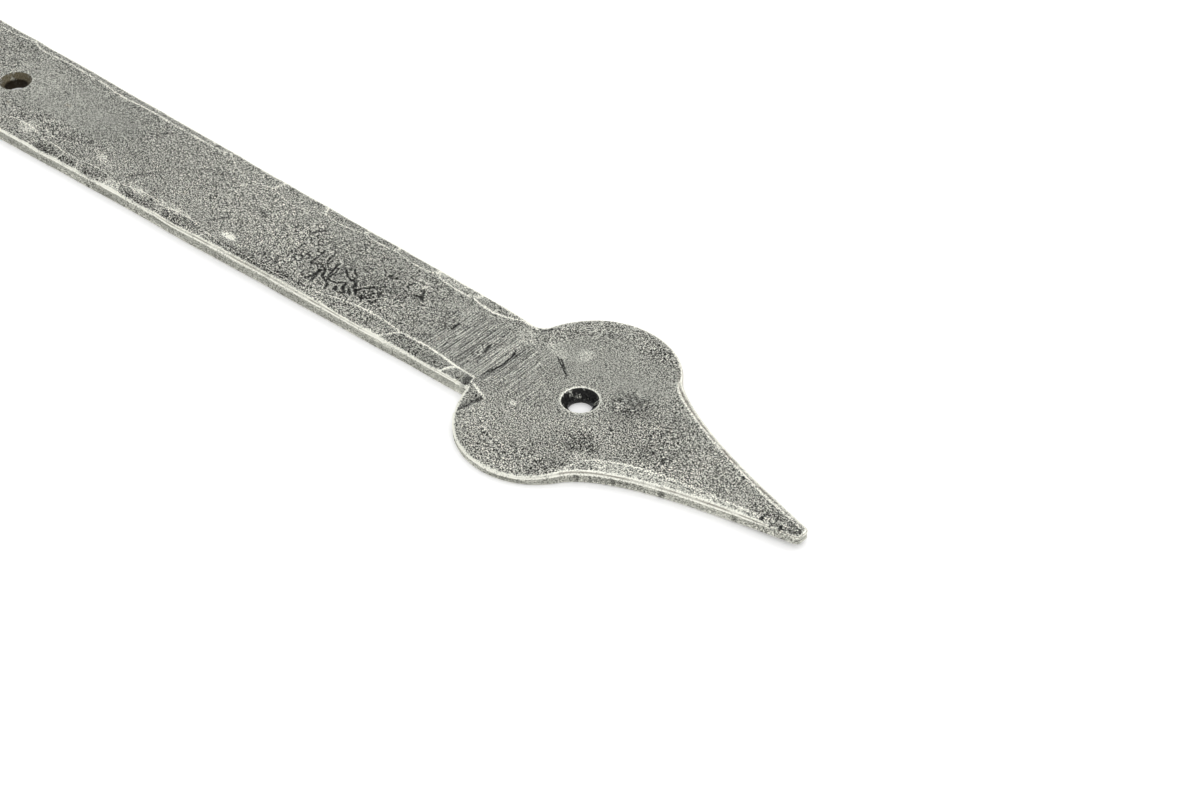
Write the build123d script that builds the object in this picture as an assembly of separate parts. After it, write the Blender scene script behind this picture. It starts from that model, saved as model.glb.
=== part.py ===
"""Cranked hook and band hinge: a tapered strap with a cranked, rolled eye and a welded spade end,
hung on a pin that is bent out of a screw-on plate.

Millimetres. X runs from the pin axis to the tip of the band, Y along the pin, Z out of the door's face.
Z = 0 is the face of door and post: the backs of the band and of the hook plate both lie on it.
"""
import os
from math import asin, atan2, cos, degrees, radians, sin, sqrt

from build123d import *

os.makedirs("parts", exist_ok=True)

# Band: lengths along X
BAND_LENGTH = 609.6  # pin axis to tip
TIP_TO_HOLE = 74.6  # tip to the hole in the spade
PIN_TO_HOLE = 77.8  # pin axis to the hole next to the crank; the third is half-way between them
WELD_TO_HOLE = 30.2  # weld line to the hole in the spade

# Strap section
STRAP_THICKNESS = 5.0
EYE_WIDTH = 50.0  # eye and crank, and the wide end of the taper
NECK_WIDTH = 30.9  # narrow end of the taper, at the weld
BEVEL_WIDTH = 6.0  # hammered bevel along both front edges
BEVEL_DROP = 1.15
BEVEL_RUN_OUT = 24.0  # length in which the bevel dies out towards the crank
GRIND_LENGTH = 16.0  # front of the strap ground down to meet the spade

# Spade end: two round lobes and a hollow-sided spear
SPADE_THICKNESS = 4.0
SPADE_SKEW = 1.25  # degrees that the spade leans towards -Y
NECK_FILLET = 4.0  # only the +Y notch is filled out, the -Y one is left sharp
TIP_WIDTH = 4.4
TIP_ROUNDING = 1.6
TIP_LIFT = 1.2  # back of the tip above the door's face
TIP_THIN_LENGTH = 24.0  # end of the spear that is drawn thinner, from the back
RIM_BEVEL_WIDTH = 1.3
RIM_BEVEL_DROP = 0.6

# The two sides of the spade, near towards -Y and far towards +Y, are not quite alike
NECK_LENGTH_NEAR = 4.6  # weld to where the lobe springs from the neck
LOBE_RADIUS_NEAR = 22.4
LOBE_SPREAD_NEAR = 11.2  # lobe centre from the spade's axis
FLANK_ANGLE_NEAR = 33.5  # where on the lobe the spear's edge leaves it, from the spade's axis
WAIST_FROM_HOLE_NEAR = 25.0  # handle of the edge's curve, beyond the hole
WAIST_HALF_WIDTH_NEAR = 10.5
NECK_LENGTH_FAR = 3.0
LOBE_RADIUS_FAR = 23.2
LOBE_SPREAD_FAR = 11.3
FLANK_ANGLE_FAR = 33.0
WAIST_FROM_HOLE_FAR = 28.0
WAIST_HALF_WIDTH_FAR = 12.8

# Screw holes, all alike
HOLE_DIAMETER = 6.5
COUNTERSINK_DIAMETER = 10.0

# Pin, eye and crank
PIN_DIAMETER = 14.0
PIN_CLEARANCE = 0.08  # radial, pin in eye
PIN_ABOVE_EYE = 8.0
PIN_END_CHAMFER = 1.5
EYE_TO_PLATE = 8.0  # free space between the eye and the hook plate
EYE_SEAM = 0.8  # gap left where the rolled end comes back to the strap
CRANK_ANGLE = 45.0
CRANK_BEND_RADIUS = 4.0  # inside radius of both bends
CRANK_FROM_PIN = 18.0  # pin axis to the start of the crank

# Hook
COLLAR_DIAMETER = 24.0
COLLAR_HEIGHT = 6.0
COLLAR_GAP = 0.3  # between collar and eye
HOOK_BEND_RADIUS = 14.0  # centre line of the pin's bend
PLATE_WIDTH = 48.0
PLATE_HEIGHT = 112.0
PLATE_THICKNESS = 5.0
PLATE_EDGE_BEVEL = 1.5
PLATE_CORNER_RADIUS = 3.0
PLATE_HOLES_X = 30.0
PLATE_HOLES_Y = 84.0
TENON_DIAMETER = 11.0  # pin where it passes through the plate
RIVET_DIAMETER = 16.0  # tenon spread into the back of the plate
RIVET_DEPTH = 2.5

OVERRUN = 1.0  # how far a cut runs past the metal

# Derived places
eye_bore = PIN_DIAMETER / 2 + PIN_CLEARANCE
eye_outer = eye_bore + STRAP_THICKNESS
crank_rise = PLATE_THICKNESS + EYE_TO_PLATE
pin_z = crank_rise + eye_outer
hole_pitch = (BAND_LENGTH - TIP_TO_HOLE - PIN_TO_HOLE) / 2
hole_xs = [BAND_LENGTH - TIP_TO_HOLE - i * hole_pitch for i in range(3)]
weld_x = hole_xs[0] - WELD_TO_HOLE
collar_top = -EYE_WIDTH / 2 - COLLAR_GAP
bend_top = collar_top - COLLAR_HEIGHT
shank_y = bend_top - HOOK_BEND_RADIUS


def on_circle(centre, radius, angle):
    """Point of a circle in the plane, by its angle in degrees."""
    return centre[0] + radius * cos(radians(angle)), centre[1] + radius * sin(radians(angle))


def arc(centre, radius, start, end):
    """Arc in the plane by angles in degrees; end below start runs clockwise."""
    middle = (start + end) / 2
    return ThreePointArc(*[on_circle(centre, radius, angle) for angle in (start, middle, end)])


def screw_hole(x, y, front):
    """Cutter for one countersunk screw hole through a plate from z = 0 to this front."""
    sink = (COUNTERSINK_DIAMETER - HOLE_DIAMETER) / 2
    shank = Pos(x, y, front / 2) * Cylinder(HOLE_DIAMETER / 2, front + 2 * OVERRUN)
    head = Pos(x, y, front - sink / 2) * Cone(HOLE_DIAMETER / 2, COUNTERSINK_DIAMETER / 2, sink)
    return shank + head


def wedge(start_x, start_z, end_x, end_z, clear_z):
    """Cutter that slopes a face from start to end, over the whole width; clear_z is outside the metal."""
    past = end_x + OVERRUN
    points = [(start_x, start_z), (end_x, end_z), (past, end_z), (past, clear_z), (start_x, clear_z)]
    return extrude(Plane.XZ * make_face(Polyline(*points, close=True)), amount=BAND_LENGTH, both=True)


# Crank and rolled eye, drawn from the side and pulled to the width of the eye
bend_inside = CRANK_BEND_RADIUS
bend_outside = CRANK_BEND_RADIUS + STRAP_THICKNESS
bends = bend_inside + bend_outside
ramp = (crank_rise - bends * (1 - cos(radians(CRANK_ANGLE)))) / sin(radians(CRANK_ANGLE))
crank_end = CRANK_FROM_PIN + bends * sin(radians(CRANK_ANGLE)) + ramp * cos(radians(CRANK_ANGLE))
low_centre = (crank_end, bend_outside)
high_centre = (CRANK_FROM_PIN, crank_rise - bend_inside)
eye_centre = (0, pin_z)
seam_angle = degrees(asin((eye_bore - EYE_SEAM) / eye_outer))

turns = [
    arc(low_centre, bend_outside, 270, 270 - CRANK_ANGLE),
    arc(high_centre, bend_inside, 90 - CRANK_ANGLE, 90),
    arc(eye_centre, eye_outer, 270, -seam_angle),
    arc(eye_centre, eye_bore, -seam_angle, 270),
    arc(high_centre, bend_outside, 90, 90 - CRANK_ANGLE),
    arc(low_centre, bend_inside, 270 - CRANK_ANGLE, 270),
]
runs = [Line(turns[i - 1] @ 1, turns[i] @ 0) for i in range(len(turns))]
crank = extrude(Plane.XZ * make_face(Curve() + turns + runs), amount=EYE_WIDTH / 2, both=True)


# Tapered strap, its front edges bevelled from the crank on
def strap_section(x, drop):
    width = EYE_WIDTH + (NECK_WIDTH - EYE_WIDTH) * (x - crank_end) / (weld_x - crank_end)
    edge, shoulder = width / 2, width / 2 - BEVEL_WIDTH
    rim, front = STRAP_THICKNESS - drop, STRAP_THICKNESS
    points = [(-edge, 0), (edge, 0), (edge, rim), (shoulder, front), (-shoulder, front), (-edge, rim)]
    return Plane((x, 0, 0), (0, 1, 0), (1, 0, 0)) * make_face(Polyline(*points, close=True))


bevel_start = crank_end + BEVEL_RUN_OUT
run_out = loft([strap_section(crank_end, 0), strap_section(bevel_start, BEVEL_DROP)], ruled=True)
taper = loft([strap_section(bevel_start, BEVEL_DROP), strap_section(weld_x, BEVEL_DROP)], ruled=True)
strap = crank + run_out + taper
above_strap = STRAP_THICKNESS + OVERRUN
strap -= wedge(weld_x - GRIND_LENGTH, STRAP_THICKNESS, weld_x, SPADE_THICKNESS, above_strap)
for hole_x in hole_xs[1:]:
    strap -= screw_hole(hole_x, 0, STRAP_THICKNESS)

# Spade end, drawn on its own axis from the weld and then leant over
spade_length = BAND_LENGTH - weld_x


def spade_side(side, neck, radius, spread, angle, waist_x, waist_half):
    """One lobe and the spear's hollow edge from that lobe to the tip; side is -1 near, 1 far."""
    centre = (neck + sqrt(radius**2 - (NECK_WIDTH / 2 - spread) ** 2), side * spread)
    start = on_circle(centre, radius, side * angle)
    waist = (WELD_TO_HOLE + waist_x, side * waist_half)
    return centre, Pos(*centre) * Circle(radius), Bezier(start, waist, (spade_length, side * TIP_WIDTH / 2))


near_centre, near_lobe, near_edge = spade_side(
    -1,
    NECK_LENGTH_NEAR,
    LOBE_RADIUS_NEAR,
    LOBE_SPREAD_NEAR,
    FLANK_ANGLE_NEAR,
    WAIST_FROM_HOLE_NEAR,
    WAIST_HALF_WIDTH_NEAR,
)
far_centre, far_lobe, far_edge = spade_side(
    1,
    NECK_LENGTH_FAR,
    LOBE_RADIUS_FAR,
    LOBE_SPREAD_FAR,
    FLANK_ANGLE_FAR,
    WAIST_FROM_HOLE_FAR,
    WAIST_HALF_WIDTH_FAR,
)
root = Polyline(far_edge @ 0, far_centre, near_centre, near_edge @ 0)
blade = make_face(Curve() + [near_edge, Line(near_edge @ 1, far_edge @ 1), far_edge, root])
blade = fillet(blade.vertices().sort_by(Axis.X)[-2:], TIP_ROUNDING)
neck = Pos(weld_x, 0) * Rectangle(2 * far_centre[0], NECK_WIDTH)
outline = Pos(weld_x, 0) * Rot(0, 0, -SPADE_SKEW) * (blade + near_lobe + far_lobe) + neck
notch = [v for v in outline.vertices() if weld_x < v.X < weld_x + far_centre[0] and v.Y > 0]
outline = fillet(notch, NECK_FILLET)

rim_height = SPADE_THICKNESS - RIM_BEVEL_DROP
rim_angle = degrees(atan2(RIM_BEVEL_WIDTH, RIM_BEVEL_DROP))
spade = extrude(outline, amount=rim_height)
spade += Pos(0, 0, rim_height) * extrude(outline, amount=RIM_BEVEL_DROP, taper=rim_angle)
beyond_weld = Pos(weld_x + BAND_LENGTH / 2, 0) * Box(BAND_LENGTH, BAND_LENGTH, BAND_LENGTH)
spade &= beyond_weld
spade -= wedge(BAND_LENGTH - TIP_THIN_LENGTH, 0, BAND_LENGTH, TIP_LIFT, -OVERRUN)
spade -= screw_hole(hole_xs[0], 0, SPADE_THICKNESS)

# Hook plate, screwed to the post
plate_outline = Pos(0, shank_y) * RectangleRounded(PLATE_WIDTH, PLATE_HEIGHT, PLATE_CORNER_RADIUS)
plate = extrude(plate_outline, amount=PLATE_THICKNESS)
plate = chamfer(plate.faces().sort_by(Axis.Z)[-1].edges(), PLATE_EDGE_BEVEL)
for side in (-1, 1):
    for end in (-1, 1):
        hole_y = shank_y + end * PLATE_HOLES_Y / 2
        plate -= screw_hole(side * PLATE_HOLES_X / 2, hole_y, PLATE_THICKNESS)
tenon = Pos(0, shank_y, PLATE_THICKNESS / 2) * Cylinder(TENON_DIAMETER / 2, PLATE_THICKNESS)
rivet = Pos(0, shank_y, RIVET_DEPTH / 2) * Cone(RIVET_DIAMETER / 2, TENON_DIAMETER / 2, RIVET_DEPTH)
plate -= tenon + rivet


# Hook: upright pin with a collar for the eye to sit on, bent back and riveted through the plate
def upright(diameter, bottom, top):
    return Pos(0, (bottom + top) / 2, pin_z) * Rot(90, 0, 0) * Cylinder(diameter / 2, top - bottom)


pin = upright(PIN_DIAMETER, bend_top, EYE_WIDTH / 2 + PIN_ABOVE_EYE)
pin = chamfer(pin.edges().sort_by(Axis.Y)[-1], PIN_END_CHAMFER)
collar = upright(COLLAR_DIAMETER, bend_top, collar_top)
elbow_z = pin_z - HOOK_BEND_RADIUS
bar = Plane((0, bend_top, pin_z), (1, 0, 0), (0, 1, 0)) * Circle(PIN_DIAMETER / 2)
elbow = revolve(bar, Axis((0, bend_top, elbow_z), (1, 0, 0)), 90)
shank_length = elbow_z - PLATE_THICKNESS
shank = Pos(0, shank_y, PLATE_THICKNESS + shank_length / 2) * Cylinder(PIN_DIAMETER / 2, shank_length)
hook = pin + collar + elbow + shank + tenon + rivet

for name, solid in (("strap", strap), ("spade_end", spade), ("hook_plate", plate), ("hook_pin", hook)):
    export_step(solid, f"parts/{name}.step")
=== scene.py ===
"""Looks of the cranked hook and band hinge: forged steel with a grey, waxed pewter patina.

Shapes are worked out in millimetres and written to the meshes in metres. The band is drawn flat,
with s along it, y across it and h above its back, and is then bent along the crank and round the eye.
"""

import math

import bpy
import numpy as np
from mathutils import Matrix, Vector, kdtree
from mathutils.geometry import delaunay_2d_cdt


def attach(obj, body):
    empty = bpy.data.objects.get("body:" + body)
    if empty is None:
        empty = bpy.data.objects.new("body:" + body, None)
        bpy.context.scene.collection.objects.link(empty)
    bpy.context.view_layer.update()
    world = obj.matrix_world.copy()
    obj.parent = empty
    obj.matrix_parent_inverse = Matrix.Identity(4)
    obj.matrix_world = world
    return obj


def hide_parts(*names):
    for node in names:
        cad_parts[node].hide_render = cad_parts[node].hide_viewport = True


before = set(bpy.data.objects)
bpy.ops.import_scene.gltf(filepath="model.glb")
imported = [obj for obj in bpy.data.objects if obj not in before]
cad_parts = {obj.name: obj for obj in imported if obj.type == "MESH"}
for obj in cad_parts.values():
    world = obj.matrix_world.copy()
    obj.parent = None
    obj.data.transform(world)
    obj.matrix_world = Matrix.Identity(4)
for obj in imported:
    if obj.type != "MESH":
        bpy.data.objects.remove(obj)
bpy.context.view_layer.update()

MM = 0.001

# Sizes of the solids
BAND_LENGTH = 609.6
WELD_X = 504.8
BAND_HOLES = (77.8, 306.4, 535.0)
STRAP_THICKNESS = 5.0
SPADE_THICKNESS = 4.0
EYE_HALF = 25.0
NECK_HALF = 15.45
TAPER_END = 520.0  # the strap's taper is drawn on past the weld
GRIND_LENGTH = 16.0
TIP_LIFT = 1.2
TIP_THIN_LENGTH = 24.0
CRANK_END = 36.385
CRANK_START = 18.0
BEND_MIDDLE = 6.5
RAMP = 13.0
PIN_Z = 25.08
PIN_RADIUS = 7.0
EYE_OUTER = 12.08
EYE_MIDDLE = EYE_OUTER - STRAP_THICKNESS / 2
SEAM_ANGLE = math.radians(31.33)
PLATE_THICKNESS = 5.0
SHANK_Y = -45.3
PLATE_HOLES = tuple((x, SHANK_Y + y) for y in (-42, 42) for x in (-15, 15))
HOLE_RADIUS = 3.25
SINK_RADIUS = 5.0
TENON_RADIUS = 5.5
RIVET_RADIUS = 8.0
RIVET_DEPTH = 2.5
PIN_TOP = 33.0
COLLAR_TOP = -25.3
COLLAR_RADIUS = 12.0
BEND_TOP = -31.3
ELBOW_RADIUS = 14.0
ELBOW_Z = 11.08

BEND_LENGTH = BEND_MIDDLE * math.pi / 4
EYE_LENGTH = EYE_MIDDLE * (1.5 * math.pi + SEAM_ANGLE)
FLAT_START = CRANK_END - 2 * BEND_LENGTH - RAMP - CRANK_START
BAND_START = FLAT_START - EYE_LENGTH
STRETCHES = (  # from the crank to the end of the eye: length, and curvature of the metal's middle
    (BEND_LENGTH, 1 / BEND_MIDDLE),
    (RAMP, 0),
    (BEND_LENGTH, -1 / BEND_MIDDLE),
    (CRANK_START, 0),
    (EYE_LENGTH, 1 / EYE_MIDDLE),
)

# Zones of a plate's surface, and points round a hole, across the band and round the pin
FRONT, SIDE, BACK, HOLE, EDGE, EDGE_LINE, FOOT = range(7)
RING_POINTS = 48
ACROSS_POINTS = 60
PIN_POINTS = 96
PIN_LUMPS = {  # unevenness of the pin: level, depth, reach round it, size of the lumps and seed
    "bar": (-0.10, 0.09, 7, 4, 71),
    "collar": (-0.12, 0.11, 12, 4.5, 72),
    "pin": (-0.02, 0.012, 7, 3, 73),
    "tenon": (0, 0, 1, 1, 0),
}
FINE_START = 270  # from here to the weld the mesh is finer
NO_CRACK = 4.0  # distance to a crack where there is none
BLANK = {"crack": NO_CRACK, "bevel": 1.0, "meet": 1.0}  # masks where nothing is drawn
BLANK |= dict.fromkeys(("grind", "flank", "flake", "pock", "line", "ticks", "rim", "hole", "brown"), 0.0)


# Random heights and blends
def ease(low, high, t):
    """Smooth step from 0 at low to 1 at high."""
    t = np.clip((t - low) / (high - low), 0, 1)
    return t * t * (3 - 2 * t)


def window(t, start, full, waning, end):
    """Smooth rise from 0 to 1, and back to 0."""
    return ease(start, full, t) * (1 - ease(waning, end, t))


def bell(t, width):
    """1 at 0, fading on both sides over this width."""
    return np.exp(-((t / width) ** 2))


def lattice(i, j, seed):
    """Random value from -1 to 1 at each corner of a grid."""
    n = (i * 374761393 + j * 668265263 + seed * 974634777) & 0xFFFFFFFF
    n = ((n ^ (n >> 13)) * 1274126177) & 0xFFFFFFFF
    return ((n ^ (n >> 16)) & 0xFFFF) / 32767.5 - 1


def noise(x, y, size, seed):
    """Smooth random value from -1 to 1 with lumps of this size."""
    u, v = np.asarray(x) / size, np.asarray(y) / size
    i, j = np.floor(u).astype(np.int64), np.floor(v).astype(np.int64)
    f, g = ease(0, 1, u - i), ease(0, 1, v - j)
    low = lattice(i, j, seed) * (1 - f) + lattice(i + 1, j, seed) * f
    high = lattice(i, j + 1, seed) * (1 - f) + lattice(i + 1, j + 1, seed) * f
    return low * (1 - g) + high * g


def to_line(x, y, points):
    """Distance from each place to a chain of points."""
    best = np.full(np.shape(x), 1e9)
    for (ax, ay), (bx, by) in zip(points, points[1:]):
        dx, dy = bx - ax, by - ay
        t = np.clip(((x - ax) * dx + (y - ay) * dy) / (dx * dx + dy * dy), 0, 1)
        best = np.minimum(best, np.hypot(x - ax - t * dx, y - ay - t * dy))
    return best


def in_spots(x, y, spots):
    """Sum of ovals (x, y, half length, half width, turn in degrees, strength) that fade to their rims."""
    total = np.zeros(np.shape(x))
    for cx, cy, a, b, turn, strength in spots:
        c, s = math.cos(math.radians(turn)), math.sin(math.radians(turn))
        u, v = (x - cx) * c + (y - cy) * s, (y - cy) * c - (x - cx) * s
        total += strength * (1 - ease(0.35, 1, np.hypot(u / a, v / b)))
    return total


def struck(seed, start, end, pitch, widths, drops):
    """Random hammer blows along an edge: place, reach, width and drop of each."""
    rng = np.random.default_rng(seed)
    table = []
    at = start
    while at < end:
        reach = pitch * rng.uniform(0.7, 1.3)
        table.append((at, reach, rng.uniform(*widths), rng.uniform(*drops)))
        at += reach * rng.uniform(0.9, 1.6)
    return table


def facets(along, inward, chamfer, slope, table, cup=0.35):
    """Lowest of a chamfer and hammered flats, and two fields that cross 0 at its ridges.

    Each blow leaves a flat that dips towards the edge and is cupped along it. The first field is the
    distance inside the end of a flat, the second crosses 0 where two flats meet.
    """
    planes, slopes = [slope * (inward - chamfer)], [slope]
    for at, reach, width, drop in table:
        planes.append(drop * (inward / width - 1) + cup * ((along - at) / reach) ** 2)
        slopes.append(drop / width)
    planes, slopes = np.stack(planes), np.array(slopes)
    order = np.argpartition(planes, 1, axis=0)[:2]
    first, second = np.take_along_axis(planes, order, 0)
    return first, first / slopes[order[0]], (second - first) * np.where(order[0] < order[1], 1, -1)


# Front of the band: strokes and spots are places on its front, in the row frame
CREASE = [  # of the weld
    (508.4, 4.6), (509.5, 2.2), (510.1, -1.8), (509.6, -5.2),
    (509, -8), (509.2, -10.6), (508.9, -13.4),
]
SCRATCHES = [  # line, width and depth
    ([(371, -10.5), (375.5, -4)], 0.35, 0.14),
    ([(430.6, 4.4), (433.2, 8.2)], 0.4, 0.2),
    ([(413, 2), (414.4, 2.3), (415.3, 1.4), (414.2, 1)], 0.35, 0.2),
    ([(404.5, -9.8), (408, -5)], 0.4, 0.14),
    ([(490.1, 1.8), (490.3, -1)], 0.35, 0.22),
    ([(487.4, -0.6), (488.8, -2.2)], 0.35, 0.14),
    ([(502.2, 0.9), (503, -2)], 0.4, 0.22),
    ([(503.6, -4), (504.2, -6.2)], 0.3, 0.12),
    ([(506.6, 14.1), (508.5, 15.1), (509.8, 17.2)], 0.45, 0.16),
    ([(518.8, 9.4), (526, 5)], 0.25, 0.14),
    ([(520.2, 9.4), (523.6, 6.9)], 0.25, 0.14),
]
CRACKS = [  # line and half width
    ([(440, 1.2), (440.1, -1), (440.3, -3), (440.3, -5.2)], 0.2),
    ([(440.3, -5.2), (441.6, -5.2), (442.3, -4.6), (443.6, -3.6), (444.2, -4.6)], 0.3),
    ([(443.2, 1), (443.4, -1), (443.6, -2.2)], 0.3),
    ([(444.9, -5.8), (445.1, -8.2), (444.7, -11)], 0.6),
    ([(445.5, -8), (446.5, -11)], 0.4),
    ([(444.8, -4.4), (446.4, -5.6), (447.4, -7.4), (449, -8)], 0.36),
    ([(449, -8), (450.6, -8.6), (451.2, -9.6), (451.8, -11.2)], 0.36),
    ([(444.6, -0.6), (444.5, -2.6), (445.4, -3.6)], 0.16),
    ([(447.2, -0.5), (447.3, -3), (448.3, -6.2), (448.8, -6.4)], 0.18),
    ([(448.4, -2.4), (448.9, -4.8), (448.9, -6.2)], 0.18),
    ([(450, -1.2), (452.4, -2.6), (454.4, -3.4), (456.2, -3.6), (457.6, -4.8)], 0.2),
    ([(448.2, -6.8), (450.4, -7.2), (452.4, -7), (453, -6), (454, -5.2)], 0.18),
    ([(452.2, 0.6), (453.2, -0.6), (454.4, -0.9)], 0.16),
    ([(453.4, -8.2), (454.2, -9)], 0.55),
    ([(454.6, -5.6), (454.8, -7.2), (456, -7.8), (457.2, -8.6), (455.6, -9.8)], 0.34),
    ([(464, 0.2), (460.2, -3.8), (458.6, -6.2)], 0.46),
    ([(457, -5), (458.6, -6.2), (460.2, -7.6)], 0.28),
    ([(456.6, -6.4), (458.6, -8.4)], 0.26),
    ([(457.4, -9.4), (459.4, -10), (460.2, -11.6)], 0.18),
    ([(465.2, -7), (466.6, -6.4)], 0.45),
    ([(462, -7.4), (463.2, -8.4)], 0.4),
    ([(434.7, -6.7), (437.3, -7), (437.9, -6.3), (436.9, -4.6), (435.8, -4.8), (434.7, -6)], 0.2),
    ([(436.6, -2), (436.9, -4.4)], 0.2),
    ([(436.4, -3.2), (439, -3.3)], 0.24),
    ([(433, 0.8), (433.2, -3.6), (434.2, -4.6)], 0.14),
    ([(435.4, 3.6), (435.5, 2.6), (436.7, 1.4)], 0.16),
    ([(437.6, 0.8), (438.2, -0.4), (439.6, -0.2)], 0.2),
    ([(431.8, -9.8), (433.6, -11.6)], 0.36),
    ([(430.6, -9.6), (433.2, -8.4)], 0.2),
    ([(441.6, -9.2), (442, -10.2)], 0.3),
    ([(461.6, 4.8), (462.5, 3.8)], 0.42),
    ([(466.4, 8.2), (467.2, 7.8)], 0.36),
    ([(473, 6.4), (474.2, 4.4), (476.2, 2.4)], 0.3),
    ([(472.8, 2.8), (474.4, 3.6), (475.6, 2.6)], 0.38),
    ([(547.6, -3.2), (549, -4)], 0.28),
    ([(566, -4), (567.2, -4.8)], 0.34),
    ([(533, -6.6), (534.2, -7.2)], 0.26),
    ([(597.8, -4.2), (598.4, -4.7)], 0.36),
]
CRACK_SHARE = 0.7  # how much of a crack's half width is fully open
PATCH_LOW, PATCH_HIGH = (428, -12.5), (478, 8.5)  # pitted patch, drawn finer than the rest
FLAKES = [  # this and the next four tables hold ovals, as in_spots takes them
    (450, -4.5, 18, 8.5, -8, 0.7),
    (431, -10, 6, 3.5, 0, 0.8),
    (545.8, 7.2, 7, 7.5, 20, 0.9),
    (546, -12, 9, 4, 0, 0.5),
    (128, 1, 15, 8, 10, 0.9),
    (223, -5, 13, 7, -20, 0.9),
    (264, 7, 8, 5, 0, 0.7),
]
POCKS = [
    (464, -5, 7.5, 6.2, 0, 1),
    (458, 3, 10, 5.5, 0, 0.5),
    (470, 3, 7, 8, 0, 0.6),
    (447, -4, 14, 7.5, 0, 0.4),
    (430.5, -10.5, 6, 3.5, 0, 0.7),
    (389, 6.5, 7, 4, 15, 0.8),
    (393, 0, 6, 3, 60, 0.6),
    (362, 9.5, 5, 3, 40, 0.6),
    (345, -8.5, 8, 4, 0, 0.6),
    (545.5, -12.5, 9, 4.5, 0, 0.7),
    (540.5, 28, 7, 3, -20, 0.6),
    (566, -3, 12, 6, -10, 0.4),
    (537, -26, 16, 7, 0, 0.4),
    (600, -3.6, 9, 3.2, -10, 0.9),
    (226, -4, 15, 8, -20, 0.8),
    (130, 2, 14, 9, 10, 0.7),
]
DENTS = [
    (414.2, -11.6, 3.6, 1.7, 0, 0.25),
    (345, 6, 6, 3.5, 25, 0.12),
    (392, -3, 7, 4, 60, 0.12),
    (452, -6, 14, 6, -15, 0.2),
    (545.5, 7, 6.5, 6.5, 0, 0.15),
    (232, 5, 6, 4, 40, 0.18),
    (181, -9, 8, 4.5, 15, 0.2),
    (128, 7, 6, 4, 70, 0.18),
]
ROUGH = [
    (448, -4, 20, 10, -5, -0.2),
    (468, -1, 15, 11, 0, 0.3),
    (392, 3, 36, 14, 0, 0.22),
    (425, 0, 22, 14, 0, 0.15),
    (338, -9, 24, 6, 0, 0.35),
    (328, 4, 40, 16, 0, -0.4),
    (340.5, -17, 6, 2.4, 2, 0.6),
    (350, -17, 4, 2.2, 0, 0.6),
    (360.5, -16.9, 5, 2.2, 0, 0.6),
    (380.5, -16.4, 9, 2.4, 2, 0.6),
    (397, -15.4, 10, 2.4, 4, 0.7),
    (431, -14.6, 9, 2, 2, 0.6),
    (535, -20, 26, 15, 0, 0.3),
    (546, -12.5, 9, 4, 0, 0.3),
    (560, -2, 28, 15, 0, 0.3),
    (532, 18, 28, 18, 0, -0.4),
    (503, -1, 32, 20, 0, -0.42),
    (600, -3.5, 11, 5, -8, 0.8),
    (540, 28, 12, 4, 0, 0.35),
    (230, -3, 40, 14, 5, 0.35),
    (110, 4, 30, 14, -5, 0.3),
]
TINTS = [
    (340.5, -16.9, 6, 2.1, 2, -0.3),
    (350, -17, 4, 1.9, 0, -0.28),
    (360.5, -16.9, 5, 1.8, 0, -0.28),
    (380.5, -16.4, 8.5, 2, 2, -0.26),
    (397, -15.4, 9.5, 2.1, 4, -0.3),
    (430, -14.8, 22, 2, 2, -0.3),
    (329, -13.6, 5, 3, 10, 0.28),
    (359, -10.2, 7, 1.6, -20, 0.26),
    (378, -13.4, 6.5, 1.9, -12, 0.28),
    (392, -13, 10, 1.7, 0, 0.26),
    (369.5, -16.6, 4.5, 2.4, 0, 0.22),
    (414.2, -11.6, 3.6, 1.5, 0, 0.95),
    (473, -15.6, 3, 1.4, 0, 0.2),
    (476, 14.2, 12, 1.6, -2, 0.13),
    (308, 4, 18, 16, 0, 0.06),
    (328, 3, 24, 14, 0, 0.035),
    (374, 2, 30, 13, 0, -0.025),
    (344, -9.5, 9, 4.5, 0, -0.06),
    (448, 0.5, 27, 9, -4, -0.03),
    (467, 1.5, 12, 8, -15, -0.06),
    (464, -5, 5.5, 4.4, 0, -0.12),
    (474.6, 3.4, 1.5, 1.1, 30, -0.2),
    (471, 8, 5, 3, 0, 0.08),
    (486, 7.5, 6, 3.5, 0, 0.09),
    (491, -14, 17, 3, 2, -0.06),
    (499, -3, 2.6, 10, 0, -0.05),
    (506.6, -1, 3.6, 12, 0, 0.06),
    (507.5, 10.5, 5.5, 4, -20, 0.1),
    (517, 11.5, 7, 3, -10, 0.1),
    (524, 14.5, 3, 4, 20, 0.14),
    (522.5, -12.3, 1.5, 1.2, 0, 0.26),
    (519, -23, 8, 7, -50, 0.07),
    (536, -31.5, 13, 3.5, 0, 0.08),
    (540, 28, 14, 5, -20, -0.07),
    (545.5, -13, 9, 5.5, 0, -0.12),
    (549, -16.4, 2.6, 2.6, 40, 0.2),
    (557, 1, 18, 14, -15, -0.12),
    (603, -3.2, 9, 4, -12, -0.28),
    (607.4, -2.5, 3.6, 2.4, -20, -0.2),
    (545, -18, 12, 10, 0, -0.05),
    (523, 4, 4, 7, 0, -0.04),
]
NEAR_BLOWS = [  # place, reach, width and drop of each blow that shows
    (327, 9, 6.4, 1.3),
    (341, 7, 4.4, 1.5),
    (350.5, 6, 3.6, 1.5),
    (360.5, 7, 4.6, 1.4),
    (370, 6, 3, 1.3),
    (381, 8, 4.8, 1.4),
    (397, 9, 4.6, 1.2),
    (410, 7, 2.6, 0.9),
    (469, 13, 6, 1.3),
    (489, 15, 5, 1.5),
    (504, 8, 4.3, 1.5),
    (519, 8, 4.3, 1.5),
]
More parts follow.
